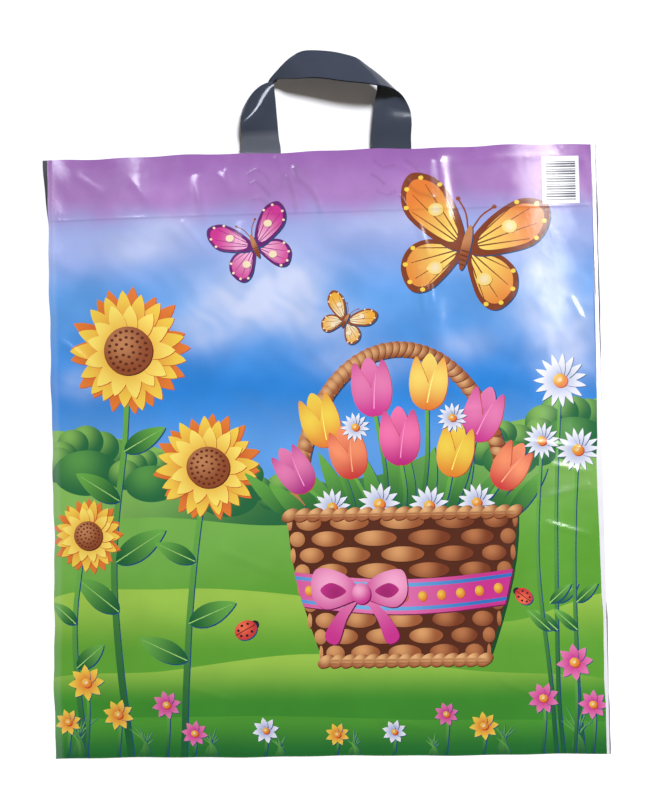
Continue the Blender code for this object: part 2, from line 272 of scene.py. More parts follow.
def edge_shift(u, v):
    """How far the film's real edge lies from a plain rectangle, across and up, in millimetres."""
    near_mouth = smooth_step((v - TOP + 40) / 40)
    up = near_mouth * (0.5 * np.sin(u / 21) + 0.35 * np.sin(u / 8.3 + 2) - 0.4)
    near_fold = smooth_step((25 - v) / 25)
    up += near_fold * (0.35 * np.sin(u / 27 + 1) + 0.2 * np.sin(u / 9.1) + 0.5)
    near_side = smooth_step((np.abs(u) - HALF + 25) / 25)
    across = near_side * (0.35 * np.sin(v / 13) + 0.25 * np.sin(v / 5.7 + 1))
    return across, up


# The print: colour fields

DEEP_PURPLE = (0.58, 0.38, 0.66)
PURPLE = (0.64, 0.47, 0.72)
PERIWINKLE = (0.60, 0.66, 0.87)
SKY_BLUE = (0.36, 0.60, 0.87)
DEEP_BLUE = (0.16, 0.50, 0.82)
CLOUD = (0.80, 0.83, 0.94)
MEADOW_LIGHT = (0.60, 0.76, 0.30)
MEADOW = (0.36, 0.62, 0.20)
MEADOW_DARK = (0.12, 0.42, 0.18)
HEDGE_LIGHT = (0.50, 0.70, 0.34)
HEDGE_MIDDLE = (0.33, 0.58, 0.28)
HEDGE_DARK = (0.13, 0.40, 0.24)
LEAF_LIGHT = (0.40, 0.66, 0.28)
LEAF_DARK = (0.08, 0.36, 0.20)
PALE_YELLOW = (0.96, 0.87, 0.42)
YELLOW = (0.93, 0.80, 0.30)
GOLD = (0.90, 0.66, 0.22)
ORANGE = (0.87, 0.48, 0.20)
RUST = (0.72, 0.28, 0.15)
BROWN = (0.55, 0.28, 0.16)
TAN = (0.74, 0.50, 0.33)
CREAM = (0.93, 0.86, 0.72)
PINK = (0.88, 0.48, 0.68)
MAGENTA = (0.78, 0.20, 0.55)
RED = (0.78, 0.22, 0.22)
CORAL = (0.94, 0.56, 0.40)
BOW_LIGHT = (0.95, 0.66, 0.80)
BOW_EDGE = (0.42, 0.10, 0.28)
STRIPE_LIGHT = (0.45, 0.70, 0.90)
STRIPE_DARK = (0.20, 0.45, 0.75)
LINE_BLUE = (0.10, 0.28, 0.45)
WHITE = (0.93, 0.93, 0.95)
DAISY_SHADOW = (0.66, 0.70, 0.84)
BAR_GREY = (0.30, 0.30, 0.34)
# Painted shade for the narrow faces at the welded sides, the fold and the mouth's closed ends
PAINTED_EDGE_SHADE = (0.22, 0.22, 0.25)
INNER_FILM = (0.84, 0.85, 0.88)


def plain(colour):
    shade = linear(colour)
    return lambda u, v: np.broadcast_to(shade, (*u.shape, 3))


def across(first, second, start, end):
    """A colour that runs from the first to the second between two places."""
    a, b = linear(first), linear(second)
    du, dv = end[0] - start[0], end[1] - start[1]

    def shade(u, v):
        share = smooth_step(((u - start[0]) * du + (v - start[1]) * dv) / (du * du + dv * dv))
        return a + (b - a) * share[..., None]

    return shade


def around(inner, outer, centre, radius):
    """A colour that runs from the inner to the outer away from a place."""
    a, b = linear(inner), linear(outer)

    def shade(u, v):
        share = smooth_step(np.hypot(u - centre[0], v - centre[1]) / radius)
        return a + (b - a) * share[..., None]

    return shade


def cloudiness(u, v):
    """A soft uneven field between about -1 and 1."""
    bend_u = u + 9 * np.sin(v / 17 + 1.3) + 5 * np.sin(v / 7.1 + u / 29)
    bend_v = v + 7 * np.sin(u / 19 + 0.4) + 4 * np.sin(u / 8.3 - v / 23)
    wide = 0.55 * np.sin(bend_u / 26) * np.sin(bend_v / 15 + 2)
    narrow = 0.3 * np.sin(bend_u / 11 + 1) * np.sin(bend_v / 8)
    return wide + narrow + 0.15 * np.sin(bend_u / 5 + bend_v / 6)


# The sky's colour at each height, and its clouds: place, half width, half height and density
SKY_LEVELS = (
    (250, SKY_BLUE),
    (300, DEEP_BLUE),
    (372, SKY_BLUE),
    (424, PERIWINKLE),
    (458, PURPLE),
    (492, DEEP_PURPLE),
)
CLOUDS = (
    (-60, 372, 40, 26, 0.9),
    (-26, 388, 30, 22, 0.8),
    (-96, 350, 26, 18, 0.6),
    (0, 352, 30, 16, 0.7),
    (34, 318, 34, 14, 0.6),
    (-150, 414, 34, 13, 0.5),
    (-128, 432, 24, 10, 0.5),
    (190, 352, 30, 24, 0.9),
    (172, 388, 26, 20, 0.7),
    (206, 318, 22, 18, 0.6),
    (60, 432, 34, 10, 0.4),
    (-196, 306, 20, 12, 0.5),
    (118, 330, 22, 12, 0.4),
)


def sky(u, v):
    """The whole ground of the print: a sky with soft clouds."""
    uneven = cloudiness(u, v)
    level = v + 7 * uneven
    colour = plain(SKY_LEVELS[0][1])(u, v)
    for (low, _), (high, after) in zip(SKY_LEVELS[:-1], SKY_LEVELS[1:]):
        share = smooth_step((level - low) / (high - low))[..., None]
        colour = colour * (1 - share) + linear(after) * share
    colour = colour * (1 + 0.10 * uneven[..., None])
    cover = np.zeros_like(u)
    for cu, cv, wide, tall, density in CLOUDS:
        cover += density * np.exp(-(((u - cu) / wide) ** 2) - (((v - cv) / tall) ** 2))
    cover = np.clip(cover * (0.85 + 0.4 * cloudiness(u * 1.7 + 40, v * 1.7)), 0, 0.92)[..., None]
    return colour * (1 - cover) + linear(CLOUD) * cover


# The print: outlines

def ellipse(cu, cv, ru, rv, tilt=0.0, step=1.6):
    count = max(8, int(math.pi * (ru + rv) / step))
    angles = np.linspace(0, 2 * math.pi, count, endpoint=False)
    return turned(np.stack([ru * np.cos(angles), rv * np.sin(angles)], 1), tilt) + (cu, cv)


def turned(points, tilt):
    cosine, sine = math.cos(tilt), math.sin(tilt)
    return np.asarray(points, float) @ np.array([[cosine, sine], [-sine, cosine]])


def curve(a, b, c, d, step):
    """Places on a smooth curve from b up to c, where a comes before them and d after."""
    count = max(2, int(np.hypot(*(c - b)) / step))
    t = (np.arange(count) / count)[:, None]
    return 0.5 * (2 * b + (c - a) * t + (2 * a - 5 * b + 4 * c - d) * t * t + (3 * b - a - 3 * c + d) * t**3)


def rounded(points, step=1.8):
    """A smooth closed outline through a few points."""
    knots = np.asarray(points, float)
    befores, nexts, afters = (np.roll(knots, shift, axis=0) for shift in (1, -1, -2))
    return np.concatenate([curve(*four, step) for four in zip(befores, knots, nexts, afters)])


def smooth_path(points, step):
    """A smooth open line through a few points."""
    knots = np.asarray(points, float)
    knots = np.concatenate([[2 * knots[0] - knots[1]], knots, [2 * knots[-1] - knots[-2]]])
    parts = [curve(*knots[i : i + 4], step) for i in range(len(knots) - 3)]
    return np.concatenate([*parts, knots[-2:-1]])


def stroke(points, wide, taper=0.0, step=2.0):
    """The outline of a line of some width, which may narrow to its end."""
    path = smooth_path(points, step)
    way = np.gradient(path, axis=0)
    way /= np.maximum(np.hypot(way[:, 0], way[:, 1]), 1e-6)[:, None]
    side = np.stack([-way[:, 1], way[:, 0]], 1)
    widths = wide / 2 * (1 - taper * np.linspace(0, 1, len(path)) ** 1.5)
    widths = np.maximum(widths, 0.12)[:, None]
    return np.concatenate([path + side * widths, (path - side * widths)[::-1]])


def petal(cu, cv, long, wide, tilt, point=0.5):
    """A petal or leaf from a root, pointing along its tilt."""
    t = np.linspace(0, 1, max(5, int(long / 2.2)))
    half = wide / 2 * np.sin(math.pi * t**point) ** 0.8
    upper = np.stack([long * t, half], 1)
    lower = np.stack([long * t, -half], 1)[1:-1][::-1]
    return turned(np.concatenate([upper, lower]), tilt) + (cu, cv)


class Print:
    """The motifs in the order in which they are printed, each an outline and a colour."""

    def __init__(self):
        self.outlines = []
        self.colours = []

    def add(self, outline, colour, edge=None, edge_by=(0.9, -0.9)):
        if edge is not None:
            self.outlines.append(np.asarray(outline) + edge_by)
            self.colours.append(plain(edge))
        self.outlines.append(np.asarray(outline, float))
        self.colours.append(colour)


# The print: places of the motifs. All are in millimetres across from the bag's middle and up from
# its fold, and run off the bag's edge where the motif does.

GROUND_FOOT = -25
STEM_FOOT = -8

# Each hill's outline, its two colours and the places between which one turns into the other
FAR_HILLS = (
    (((-240, -20), (-240, 240), (-190, 262), (-120, 248), (-40, 215), (40, 205), (60, -20)),
     HEDGE_LIGHT, HEDGE_DARK, (-120, 262), (-60, 170)),
    (((-40, -20), (-20, 190), (60, 232), (130, 262), (190, 272), (245, 262), (245, -20)),
     HEDGE_LIGHT, (0.20, 0.48, 0.26), (130, 275), (90, 180)),
)
# Each meadow's crest, then its colours as for the hills
MEADOWS = (
    (((-245, 176), (-150, 196), (-40, 188), (80, 196), (170, 206), (245, 190)),
     (0.45, 0.68, 0.30), MEADOW, (0, 200), (10, 130)),
    (((-245, 118), (-120, 138), (20, 126), (140, 108), (245, 122)),
     MEADOW_LIGHT, MEADOW, (0, 134), (0, 84)),
    (((-245, 58), (-130, 72), (-10, 84), (110, 70), (245, 52)),
     MEADOW_LIGHT, (0.24, 0.55, 0.18), (0, 84), (0, 44)),
    (((-245, 26), (-90, 34), (60, 30), (245, 22)),
     (0.30, 0.60, 0.20), MEADOW_DARK, (0, 34), (0, 2)),
)
# Each bush's place, its number of puffs, their size, their spread and a seed
HEDGES = (
    (-196, 236, 7, 15, 30, 1),
    (-140, 226, 6, 13, 24, 2),
    (202, 256, 7, 15, 28, 3),
    (150, 240, 6, 12, 24, 4),
    (-20, 206, 6, 11, 22, 5),
    (-78, 214, 6, 12, 26, 6),
)
# Each stem's line, its width and its leaves: place, length, width and direction
SUNFLOWER_STEMS = (
    (((-162, STEM_FOOT), (-174, 150), (-162, 262), (-158, 326)), 5.5,
     ((-170, 120, 46, 20, 2.5), (-172, 160, 50, 20, 0.55),
      (-168, 210, 44, 18, 2.6), (-163, 250, 40, 16, 0.5))),
    (((-120, STEM_FOOT), (-112, 110), (-104, 180), (-96, 226)), 5.0,
     ((-114, 80, 44, 18, 2.7), (-112, 110, 42, 18, 0.4), (-106, 160, 36, 15, 2.7))),
    (((-199, STEM_FOOT), (-208, 100), (-202, 168)), 4.5,
     ((-206, 74, 30, 14, 0.7), (-207, 110, 26, 12, 2.4))),
)
# Each tulip's place from the middle of the basket's rim, its height, lean and two colours
TULIPS = (
    (-58, 60, 44, 0.30, YELLOW, ORANGE),
    (-20, 84, 46, 0.10, PINK, MAGENTA),
    (22, 88, 44, -0.08, (0.96, 0.84, 0.42), ORANGE),
    (60, 62, 44, -0.32, PINK, MAGENTA),
    (-76, 24, 40, 0.55, PINK, (0.66, 0.16, 0.50)),
    (-38, 34, 42, 0.22, CORAL, RED),
    (0, 44, 46, 0.02, (0.93, 0.45, 0.66), (0.72, 0.14, 0.48)),
    (40, 34, 42, -0.20, YELLOW, (0.86, 0.50, 0.18)),
    (78, 24, 40, -0.55, CORAL, RED),
)
# Each daisy's place from the middle of the basket's rim, its radius and how far it is turned
BASKET_DAISIES = (
    (-56, 10, 15, 0.1),
    (-18, 12, 17, 0.5),
    (22, 10, 16, 0.2),
    (60, 12, 15, 0.4),
    (-36, 74, 12, 0.3),
    (42, 80, 12, 0.6),
)
# Each tuft's place across, its number of blades, their height and a seed
GRASS_TUFTS = (
    (-205, 9, 46, 31),
    (-150, 7, 34, 32),
    (-96, 8, 30, 33),
    (-40, 6, 24, 34),
    (20, 7, 26, 35),
    (84, 6, 24, 36),
    (140, 8, 34, 37),
    (200, 9, 48, 38),
)
# Each small flower's place, radius, two colours and how far it is turned
SMALL_FLOWERS = (
    (-198, 62, 15, YELLOW, ORANGE, 0.1),
    (-172, 36, 13, YELLOW, ORANGE, 0.5),
    (-214, 30, 11, YELLOW, ORANGE, 0.3),
    (-132, 44, 12, PINK, MAGENTA, 0.2),
    (-110, 20, 11, PINK, MAGENTA, 0.6),
    (198, 74, 15, PINK, MAGENTA, 0.1),
    (172, 46, 13, PINK, MAGENTA, 0.4),
    (212, 40, 12, PINK, MAGENTA, 0.7),
    (-52, 22, 11, WHITE, PERIWINKLE, 0.2),
    (6, 18, 10, YELLOW, ORANGE, 0.4),
    (124, 24, 12, YELLOW, ORANGE, 0.1),
    (52, 20, 10, WHITE, PERIWINKLE, 0.5),
    (94, 34, 10, PINK, MAGENTA, 0.3),
)

BASKET_U = 62
BASKET_FOOT = 78
BASKET_RIM = 196
BASKET_HALF_FOOT = 66
BASKET_HALF_RIM = 92
WEAVE_ROWS = 9
WEAVE_COLUMNS = 13
HOOP_STEPS = 24
HOOP_HEIGHT = 138

# The bar patch's left, low, right and high edges, and how many bars it has
BAR_PATCH = (181, 442, 211, 480.5)
BARS = 16


# The print: motifs

def toward(u, v, angle, reach):
    """The place that lies some way off in a direction."""
    return u + reach * math.cos(angle), v + reach * math.sin(angle)


def hedge(art, cu, cv, puffs, size, spread, seed):
    """A round bush of many soft puffs."""
    chance = np.random.default_rng(seed)
    for i in range(puffs):
        angle = math.pi * (i + 0.5) / puffs
        u = cu + spread * math.cos(angle) * (0.8 + 0.3 * chance.random())
        v = cv + 0.75 * spread * math.sin(angle) * (0.7 + 0.4 * chance.random())
        r = size * (0.8 + 0.4 * chance.random())
        art.add(ellipse(u, v, r, r * 0.88), around(HEDGE_LIGHT, HEDGE_DARK, (u - r / 4, v + r / 2), 1.25 * r))
    body = ellipse(cu, cv - size * 0.2, spread * 0.95, spread * 0.62)
    art.add(body, around(HEDGE_MIDDLE, HEDGE_DARK, (cu - spread / 4, cv + spread / 4), spread))


def hills(art):
    for field in FAR_HILLS:
        art.add(rounded(field[0]), across(*field[1:]))
    for bush in HEDGES:
        hedge(art, *bush)
    for crest, *colours in MEADOWS:
        left, right = crest[0][0], crest[-1][0]
        art.add(rounded([(left, GROUND_FOOT), *crest, (right, GROUND_FOOT)]), across(*colours))


def grass(art, cu, cv, count, tall, seed):
    chance = np.random.default_rng(seed)
    for i in range(count):
        angle = math.pi / 2 + (i / max(count - 1, 1) - 0.5) * 1.1
        length = tall * (0.6 + 0.4 * chance.random())
        u = cu + (i - count / 2) * 1.6
        tip = toward(u, cv, angle, length)
        middle = (u + 0.27 * length * math.cos(angle), cv + 0.5 * length)
        shade = across(LEAF_DARK, LEAF_LIGHT, (u, cv), tip)
        art.add(stroke([(u, cv), middle, tip], 3.2, 0.95), shade, LINE_BLUE, (0.5, -0.2))


def daisy(art, cu, cv, r, petals, tilt, leaf=WHITE, shadow=DAISY_SHADOW):
    for i in range(petals):
        angle = tilt + 2 * math.pi * i / petals
        shade = across(shadow, leaf, (cu, cv), toward(cu, cv, angle, r))
        art.add(petal(cu, cv, r, r * 4.2 / petals, angle, 0.75), shade, LINE_BLUE, (0.5, -0.5))
    shade = around(YELLOW, ORANGE, (cu - r / 10, cv + r / 10), r * 0.34)
    art.add(ellipse(cu, cv, r * 0.27, r * 0.25), shade, RUST)
    heart = ellipse(cu - r * 0.05, cv + r * 0.05, r * 0.13, r * 0.12)
    art.add(heart, around(CREAM, GOLD, (cu, cv), r * 0.2))


def sunflower(art, cu, cv, r, seed):
    chance = np.random.default_rng(seed)
    for ring, (count, first, second, reach) in enumerate(
        ((17, RUST, ORANGE, 1.0), (17, ORANGE, YELLOW, 0.94), (13, GOLD, PALE_YELLOW, 0.74))
    ):
        for i in range(count):
            angle = 2 * math.pi * (i + 0.5 * ring) / count + 0.06 * chance.standard_normal()
            long = r * reach * (0.94 + 0.1 * chance.random())
            root = toward(cu, cv, angle, 0.25 * long)
            shade = across(first, second, root, toward(cu, cv, angle, long))
            art.add(petal(cu, cv, long, r * 0.27, angle, 1.25), shade, RUST, (0.5, -0.5))
    shade = around(TAN, BROWN, (cu - r * 0.1, cv + r * 0.12), r * 0.45)
    art.add(ellipse(cu, cv, r * 0.40, r * 0.38), shade, (0.35, 0.16, 0.10))
    for ring, count in ((0.31, 20), (0.21, 13), (0.10, 6)):
        for i in range(count):
            place = toward(cu, cv, 2 * math.pi * (i + ring * 7) / count, r * ring)
            art.add(ellipse(*place, r * 0.030, r * 0.024, step=0.9), plain((0.36, 0.17, 0.10)))


def leafy_stem(art, points, wide, leaves):
    art.add(stroke(points, wide, 0.3), across(LEAF_LIGHT, LEAF_DARK, points[-1], points[0]), LINE_BLUE)
    for u, v, long, broad, tilt in leaves:
        shade = across(LEAF_DARK, LEAF_LIGHT, (u, v), toward(u, v, tilt, long))
        art.add(petal(u, v, long, broad, tilt, 0.8), shade, LINE_BLUE)
        vein = [toward(u, v, tilt, share * long) for share in (0, 0.5, 0.9)]
        art.add(stroke(vein, 0.9, 0.8), plain((0.62, 0.80, 0.45)))


def tulip(art, cu, cv, tall, tilt, light, dark, stem_to):
    """A tulip whose cup stands on a place. The back petal shows between the two front ones."""
    middle = ((cu + stem_to[0]) / 2 + 3, (cv + stem_to[1]) / 2)
    shade = across(LEAF_LIGHT, LEAF_DARK, (cu, cv), stem_to)
    art.add(stroke([(cu, cv + 2), middle, stem_to], 3.0), shade, LINE_BLUE)
    wide = tall * 0.36

    def cup(points):
        """Points given in half widths across and in cup heights up."""
        return turned(np.array(points) * (wide, tall), tilt - math.pi / 2) + (cu, cv)

    back = rounded(cup([(-0.5, 0.2), (-0.45, 0.75), (0, 1), (0.45, 0.75), (0.5, 0.2)]))
    art.add(back, across(dark, light, (cu, cv), toward(cu, cv, tilt, tall)), LINE_BLUE)
    for side in (-1, 1):
        front = ((0, -0.02), (0.72, 0.10), (0.98, 0.48), (0.72, 0.93), (0.30, 0.70), (-0.06, 0.36))
        outline = rounded(cup([(side * x, y) for x, y in front]))
        glow = tuple(cup([(side * 0.5, 0.55)])[0])
        art.add(outline, around(light, dark, glow, tall * 0.62), RUST, (0.6, -0.5))
    streak = cup([(0, 0.1), (0.12, 0.4), (0.3, 0.72)])
    art.add(stroke(streak, 1.0, 0.8), plain(np.clip(np.array(light) + 0.12, 0, 0.97)))


def butterfly(art, cu, cv, size, tilt, light, dark, rim, spot):
    """A plain butterfly with two pairs of rounded wings."""

    def placed(*points):
        return turned(np.array(points) * size, tilt) + (cu, cv)

    root = placed((0.0, 0.0))[0]
    upper = ((0.02, 0.05), (0.22, 0.46), (0.55, 0.78), (0.90, 0.80), (0.98, 0.52), (0.80, 0.20), (0.2, -0.06))
    lower = ((0.02, -0.02), (0.42, 0.02), (0.70, -0.14), (0.76, -0.44), (0.56, -0.70), (0.28, -0.58))
    for side in (1, -1):
        for wing, centre in ((lower, (0.44, -0.30)), (upper, (0.60, 0.42))):
            outline = rounded(placed(*((side * x, y) for x, y in wing)))
            middle = placed((side * centre[0], centre[1]))[0]
            art.add(outline, plain(rim), LINE_BLUE)
            art.add(middle + (outline - middle) * 0.80, around(light, dark, root, size))
            reach = np.hypot(*(outline - root).T)
            far = outline[reach > np.quantile(reach, 0.55)]
            for share in (0.15, 0.38, 0.62, 0.85):
                tip = root + (far[int(share * (len(far) - 1))] - root) * 0.84
                art.add(stroke([root, (root + tip) / 2, tip], size * 0.020, 0.6), plain(rim))
                place = root + (tip - root) / 0.84 * 0.93
                art.add(ellipse(*place, size * 0.034, size * 0.030), plain(spot))
            heart = root + (outline[np.argmax(reach)] - root) * 0.52
            shade = around(CREAM, spot, heart, size * 0.12)
            art.add(ellipse(*heart, size * 0.10, size * 0.085), shade, rim, (0.3, -0.3))
    for side in (1, -1):
        feeler = placed((0.01 * side, 0.20), (0.10 * side, 0.44), (0.24 * side, 0.60))
        art.add(stroke(feeler, size * 0.022), plain(BROWN))
        art.add(ellipse(*feeler[-1], size * 0.032, size * 0.028, step=1.0), plain(BROWN))
    body = turned(ellipse(0, 0, size * 0.060, size * 0.30), tilt) + (cu, cv)
    art.add(body, across(TAN, BROWN, *placed((-0.05, 0.1), (0.05, -0.1))), LINE_BLUE)
    for k in range(4):
        band = placed((-0.05, -0.04 - 0.06 * k), (0.05, -0.05 - 0.06 * k))
        art.add(stroke(band, size * 0.016, step=1.0), plain((0.38, 0.18, 0.10)))


def ladybird(art, cu, cv, size, tilt):
    def placed(*points):
        return turned(np.array(points) * size, tilt) + (cu, cv)

    head = turned(ellipse(size * 0.75, 0, size * 0.36, size * 0.34), tilt) + (cu, cv)
    art.add(head, plain((0.16, 0.14, 0.18)))
    shell = turned(ellipse(0, 0, size * 0.85, size * 0.68), tilt) + (cu, cv)
    art.add(shell, around((0.93, 0.42, 0.30), RED, placed((-0.1, 0.3))[0], size), LINE_BLUE)
    art.add(stroke(placed((-0.82, 0.0), (0.0, 0.02), (0.8, 0.0)), size * 0.06), plain((0.25, 0.08, 0.10)))
    for u, v in ((0.35, 0.32), (-0.1, 0.40), (-0.5, 0.22)):
        for spot in placed((u, v), (u, -v)):
            art.add(ellipse(*spot, size * 0.11, size * 0.10, step=0.9), plain((0.18, 0.12, 0.14)))


def basket_half(v):
    share = (v - BASKET_FOOT) / (BASKET_RIM - BASKET_FOOT)
    return BASKET_HALF_FOOT + (BASKET_HALF_RIM - BASKET_HALF_FOOT) * math.sin(share * math.pi / 2)


def basket_handle(art):
    """A tall wrapped hoop behind the flowers."""
    half, foot = BASKET_HALF_RIM - 8, BASKET_RIM - 6
    hoop = []
    for angle in np.linspace(0, math.pi, HOOP_STEPS + 1):
        hoop.append((BASKET_U + half * math.cos(angle), foot + HOOP_HEIGHT * abs(math.sin(angle)) ** 0.9))
    shade = across(TAN, BROWN, (BASKET_U - 60, 300), (BASKET_U + 60, 220))
    art.add(stroke(hoop, 12), shade, LINE_BLUE, (1.2, -1.2))
    for a, b in zip(np.array(hoop[:-2]), np.array(hoop[1:-1])):
        for part in (0.25, 0.75):
            place = a + (b - a) * part
            way = math.atan2(*(b - a)[::-1])
            shade = around((0.86, 0.66, 0.46), (0.58, 0.32, 0.19), place + (-1.5, 1.5), 7)
            art.add(ellipse(*place, 7.2, 3.6, way + 1.1), shade, (0.34, 0.17, 0.11), (0.4, -0.5))


def basket_body(art):
    foot, rim = BASKET_FOOT, BASKET_RIM
    right = [(BASKET_U + basket_half(v), v) for v in np.linspace(foot, rim, 8)]
    left = [(2 * BASKET_U - u, v) for u, v in right[::-1]]
    art.add(np.array(right + left), plain((0.33, 0.16, 0.10)), (0.07, 0.28, 0.16), (2.2, -2.4))
    tall = (rim - foot) / WEAVE_ROWS
    for row in range(WEAVE_ROWS):
        v = foot + tall * (row + 0.5)
        half = basket_half(v)
        edges = [BASKET_U - half * math.cos(math.pi * k / WEAVE_COLUMNS) for k in range(WEAVE_COLUMNS + 1)]
        for left, right in list(zip(edges[:-1], edges[1:]))[row % 2 :: 2]:
            u, ru = (left + right) / 2, (right - left) * 0.80
            light = (0.84, 0.61, 0.40) if u < BASKET_U + 20 else (0.72, 0.46, 0.29)
            dark = (0.60, 0.34, 0.20) if u < BASKET_U + 20 else (0.47, 0.23, 0.14)
            shade = around(light, dark, (u - ru * 0.25, v + tall * 0.2), max(ru, tall) * 0.95)
            art.add(ellipse(u, v, ru, tall * 0.47), shade, (0.28, 0.13, 0.09), (0.4, -0.6))
    for level, half, count in ((foot, BASKET_HALF_FOOT + 2, 15), (rim, BASKET_HALF_RIM + 3, 19)):
        for k in range(count):
            u = BASKET_U - half + 2 * half * (k + 0.5) / count
            shade = around((0.90, 0.70, 0.48), (0.58, 0.31, 0.18), (u - 1.5, level + 2.5), 8.5)
            art.add(ellipse(u, level, 7.6, 4.6, 0.55), shade, (0.30, 0.14, 0.09), (0.5, -0.6))


def ribbon_line(level, shares, slack=0.5):
    """Places along a line that sags round the basket, at shares of its half width."""
    half = basket_half(level) + slack
    return [(BASKET_U + share * half, level - 7 * math.cos(share * math.pi / 2)) for share in shares]


def basket_ribbon(art):
    """A striped ribbon round the basket, tied in a bow."""
    low, high = BASKET_FOOT + 44, BASKET_FOOT + 72
    shares = np.linspace(-1, 1, 23)
    for bottom, top, light, dark in (
        (low, high, PINK, MAGENTA),
        (low + 3, low + 6, STRIPE_LIGHT, STRIPE_DARK),
        (high - 6, high - 3, STRIPE_LIGHT, STRIPE_DARK),
    ):
        band = np.array(ribbon_line(bottom, shares) + ribbon_line(top, shares[::-1]))
        shade = around(light, dark, (BASKET_U - 30, (low + high) / 2), 100)
        art.add(band, shade, BOW_EDGE if top == high else None)
    for u, v in ribbon_line((low + high) / 2, -0.9 + 0.18 * np.arange(11), 0):
        art.add(ellipse(u, v, 3.6, 4.2), around(YELLOW, ORANGE, (u - 1, v + 1), 5), RUST, (0.4, -0.4))
    knot = np.array((BASKET_U - 34, (low + high) / 2 - 4))
    for side, size in ((-1, 1.0), (1, 0.92)):
        tail = [(0, 0), (side * 12, -20), (side * 20, -40), (side * 30, -34), (side * 18, -14)]
        shade = across(PINK, MAGENTA, knot, knot + (side * 26, -36))
        art.add(rounded(np.array(tail) + knot), shade, BOW_EDGE)
        loop = [(0, 0), (side * 14, 16), (side * 36, 20), (side * 40, 0), (side * 30, -12), (side * 12, -8)]
        shade = around(BOW_LIGHT, MAGENTA, knot + (side * 26, 8), 30)
        art.add(rounded(np.array(loop) * size + knot), shade, BOW_EDGE)
        hollow = [(side * 12, 2), (side * 24, 9), (side * 33, 3), (side * 24, -4)]
        shade = around((0.62, 0.14, 0.42), MAGENTA, knot + (side * 20, 0), 18)
        art.add(rounded(np.array(hollow) * size + knot), shade)
    art.add(ellipse(*knot, 7.5, 8.5), around(BOW_LIGHT, MAGENTA, knot + (-2, 3), 11), BOW_EDGE)


def basket_flowers(art):
    chance = np.random.default_rng(11)
    for i in range(16):
        u = BASKET_U - 84 + 11.2 * i
        tilt = math.pi / 2 - (u - BASKET_U) / 105 + 0.1 * chance.standard_normal()
        long = 46 + 26 * chance.random()
        root = (u, BASKET_RIM - 6)
        shade = across(LEAF_DARK, LEAF_LIGHT, root, toward(*root, tilt, long))
        art.add(petal(*root, long, 13, tilt, 0.8), shade, LINE_BLUE)
    foot = BASKET_RIM - 4
    for u, v, tall, lean, light, dark in TULIPS:
        stem_foot = (BASKET_U + u * 0.6, foot - 4)
        tulip(art, BASKET_U + u, foot + v, tall, math.pi / 2 + lean, light, dark, stem_foot)
    for u, v, r, tilt in BASKET_DAISIES:
        daisy(art, BASKET_U + u, foot + v, r, 13, tilt)


def sunflowers(art):
    for stem, wide, leaves in SUNFLOWER_STEMS:
        leafy_stem(art, stem, wide, leaves)
    for u, v, r, seed in ((-158, 332, 52, 21), (-94, 236, 44, 22), (-196, 182, 31, 23)):
        sunflower(art, u, v, r, seed)


def white_daisies(art):
    for u, v, r, bend, tilt in (
        (192, 300, 22, (184, 60), 0.2),
        (206, 244, 18, (200, 60), 0.5),
        (176, 252, 15, (178, 60), 0.1),
    ):
        stem = [(bend[0] + 4, STEM_FOOT), bend, (u - 6, (v + bend[1]) / 2), (u, v)]
        leaves = ((bend[0] + 1, bend[1] + 40, 26, 9, 2.4), (bend[0] + 1, bend[1] + 62, 24, 8, 0.7))
        leafy_stem(art, stem, 3.0, leaves)
        daisy(art, u, v, r, 15, tilt)


def foreground(art):
    for u, count, tall, seed in GRASS_TUFTS:
        grass(art, u, -4, count, tall, seed)
    for u, v, r, leaf, shadow, tilt in SMALL_FLOWERS:
        stem = stroke([(u, v), (u + 1, v / 2 + 6), (u - 2, -4)], 2.2)
        art.add(stem, across(LEAF_LIGHT, LEAF_DARK, (u, v), (u, 0)), LINE_BLUE)
        daisy(art, u, v, r, 8, tilt, leaf, shadow)
    ladybird(art, -66, 104, 11, 0.5)
    ladybird(art, 158, 128, 9, 2.5)


def rectangle(left, low, right, high):
    return np.array([(left, low), (right, low), (right, high), (left, high)])


def bar_patch(art):
    """A white patch of plain even bars, which mean nothing."""
    left, low, right, high = BAR_PATCH
    art.add(rectangle(left, low, right, high), plain(WHITE))
    for k in range(BARS):
        v = low + 3 + k * (high - low - 6) / BARS
        art.add(rectangle(left + 3, v, right - 3, v + (1.3 if k % 3 else 0.7)), plain(BAR_GREY))


def bare_margin(art):
    """The strip of film along the right edge that the print leaves bare, and a dark line of painted shadow
    along the cut edge.
    """
    bare = np.array([(HALF - 3.0, -9), (HALF + 9, -9), (HALF + 9, TOP + 9), (HALF - 4.0, TOP + 9)])
    art.add(bare, plain((0.90, 0.90, 0.92)))
    # Painted shadow: a dark line along the right cut edge
    art.add(rectangle(HALF - 0.8, -9, HALF + 9, TOP + 9), plain((0.36, 0.36, 0.42)))


def garden_print():
    art = Print()
    for motif in (hills, sunflowers, basket_handle, basket_flowers, basket_body, basket_ribbon):
        motif(art)
    white_daisies(art)
    butterfly(art, 118, 408, 62, -0.25, (0.97, 0.88, 0.45), ORANGE, (0.50, 0.24, 0.14), YELLOW)
    butterfly(art, -52, 414, 34, 0.35, (0.97, 0.72, 0.85), MAGENTA, (0.40, 0.14, 0.42), CREAM)
    butterfly(art, 20, 352, 22, -0.5, (0.95, 0.93, 0.80), GOLD, (0.55, 0.30, 0.16), CREAM)
    for motif in (foreground, bar_patch, bare_margin):
        motif(art)
    return art


# Cutting the front wall along the print

def places_between(low, high, step, extra=()):
    count = max(1, round((high - low) / step))
    return sorted({*np.linspace(low, high, count + 1).round(6), *extra})


